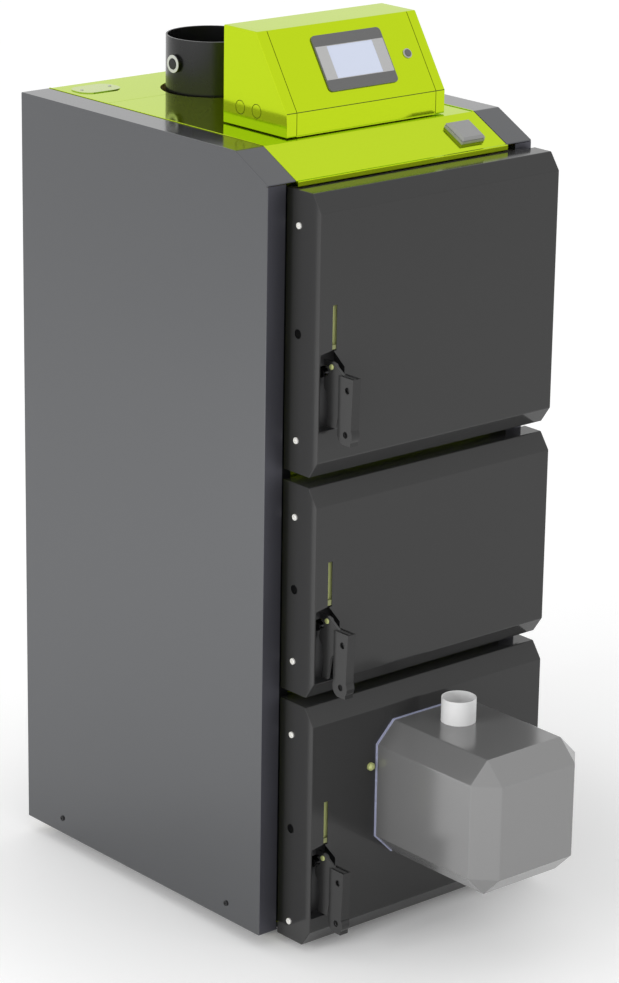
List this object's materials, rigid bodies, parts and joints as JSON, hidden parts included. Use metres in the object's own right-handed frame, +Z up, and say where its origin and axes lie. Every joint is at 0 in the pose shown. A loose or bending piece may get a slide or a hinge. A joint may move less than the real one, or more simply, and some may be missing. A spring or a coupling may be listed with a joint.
{
  "type": "pellet boiler",
  "caption": "Floor-standing pellet boiler with hinged front doors and latch levers, a burner on the lower door, a flue spigot and a control box on top.",
  "frame": {"origin": "on the floor, at the middle of the plan outline (burner front to socket ends, side screw to side screw)", "axes": "+Z up, the doors and the burner face -Y, the latches are at -X and the door hinges at +X"},
  "size_m": [0.585, 1.04, 1.538],
  "materials": {
    "panel_grey": "satin",
    "door_grey": "gloss",
    "lime": "gloss",
    "dark_steel": "satin",
    "plate_steel": "satin",
    "zinc": "gloss",
    "wool": "matt",
    "lining": "matt",
    "rope": "matt",
    "burner_grey": "satin",
    "burner_flange": "satin",
    "bezel_grey": "satin",
    "trim_grey": "satin",
    "screen": "gloss",
    "box_grey": "satin",
    "gland": "matt",
    "plug_white": "satin"
  },
  "bodies": {
    "boiler": {"base_frame": "dark_steel", "vessel": "plate_steel", "tube_plate": "dark_steel", "chamber_lining": "lining", "ash_pan": "dark_steel", "insulation": "wool", "front_frame": "lime", "left_panel": "panel_grey", "right_panel": "panel_grey", "rear_panel": "panel_grey", "top_cover_rear": "lime", "top_cover_front": "lime", "flue_spigot": "dark_steel", "flue_sensor": "plug_white", "top_plate": "zinc", "casing_screws": "dark_steel", "control_body": "lime", "control_front": "lime", "display_bezel": "bezel_grey", "display_panel": "trim_grey", "display_screen": "screen", "button_ring": "trim_grey", "switch_box": "box_grey", "water_sockets": "plate_steel", "cable_glands": "gland", "latch_keepers": "zinc", "hinge_brackets": "dark_steel"},
    "power_button": {"power_button": "bezel_grey"},
    "upper_door": {"upper_door_cover": "door_grey", "upper_door_core": "lime", "upper_door_liner": "dark_steel", "upper_door_rope": "rope", "upper_latch_pocket": "dark_steel", "upper_cover_screws": "zinc", "upper_pivot_head": "lime"},
    "upper_lever": {"upper_latch_lever": "door_grey", "upper_latch_grip": "door_grey"},
    "middle_door": {"middle_door_cover": "door_grey", "middle_door_core": "lime", "middle_door_liner": "dark_steel", "middle_door_rope": "rope", "middle_latch_pocket": "dark_steel", "middle_cover_screws": "zinc", "middle_pivot_head": "lime"},
    "middle_lever": {"middle_latch_lever": "door_grey", "middle_latch_grip": "door_grey"},
    "lower_door": {"lower_door_cover": "door_grey", "lower_door_core": "lime", "lower_door_liner": "dark_steel", "lower_door_rope": "rope", "lower_latch_pocket": "dark_steel", "lower_cover_screws": "zinc", "lower_pivot_head": "lime", "burner_flange": "burner_flange", "burner_cover": "burner_grey", "burner_tube": "plate_steel", "pellet_inlet": "zinc", "burner_nuts": "lime"},
    "lower_lever": {"lower_latch_lever": "door_grey", "lower_latch_grip": "door_grey"}
  },
  "joints": [
    {"name": "power_button_press", "type": "slide", "parent": "boiler", "child": "power_button", "axis": [0, 0.8414, -0.5404], "range_m": [0, 0.002], "stiffness_N_per_m": 400},
    {"name": "upper_door_hinge", "type": "hinge", "parent": "boiler", "child": "upper_door", "pos_m": [0.275, -0.204, 1.08371], "axis": [0, 0, 1], "range_deg": [0, 100]},
    {"name": "upper_lever_pivot", "type": "hinge", "parent": "upper_door", "child": "upper_lever", "pos_m": [-0.2042, -0.247, 1.03412], "axis": [-1, 0, 0], "range_deg": [0, 90]},
    {"name": "middle_door_hinge", "type": "hinge", "parent": "boiler", "child": "middle_door", "pos_m": [0.275, -0.204, 0.64645], "axis": [0, 0, 1], "range_deg": [0, 100]},
    {"name": "middle_lever_pivot", "type": "hinge", "parent": "middle_door", "child": "middle_lever", "pos_m": [-0.2042, -0.247, 0.59828], "axis": [-1, 0, 0], "range_deg": [0, 90]},
    {"name": "lower_door_hinge", "type": "hinge", "parent": "boiler", "child": "lower_door", "pos_m": [0.275, -0.204, 0.22954], "axis": [0, 0, 1], "range_deg": [0, 100]},
    {"name": "lower_lever_pivot", "type": "hinge", "parent": "lower_door", "child": "lower_lever", "pos_m": [-0.2042, -0.247, 0.1723], "axis": [-1, 0, 0], "range_deg": [0, 90]}
  ]
}
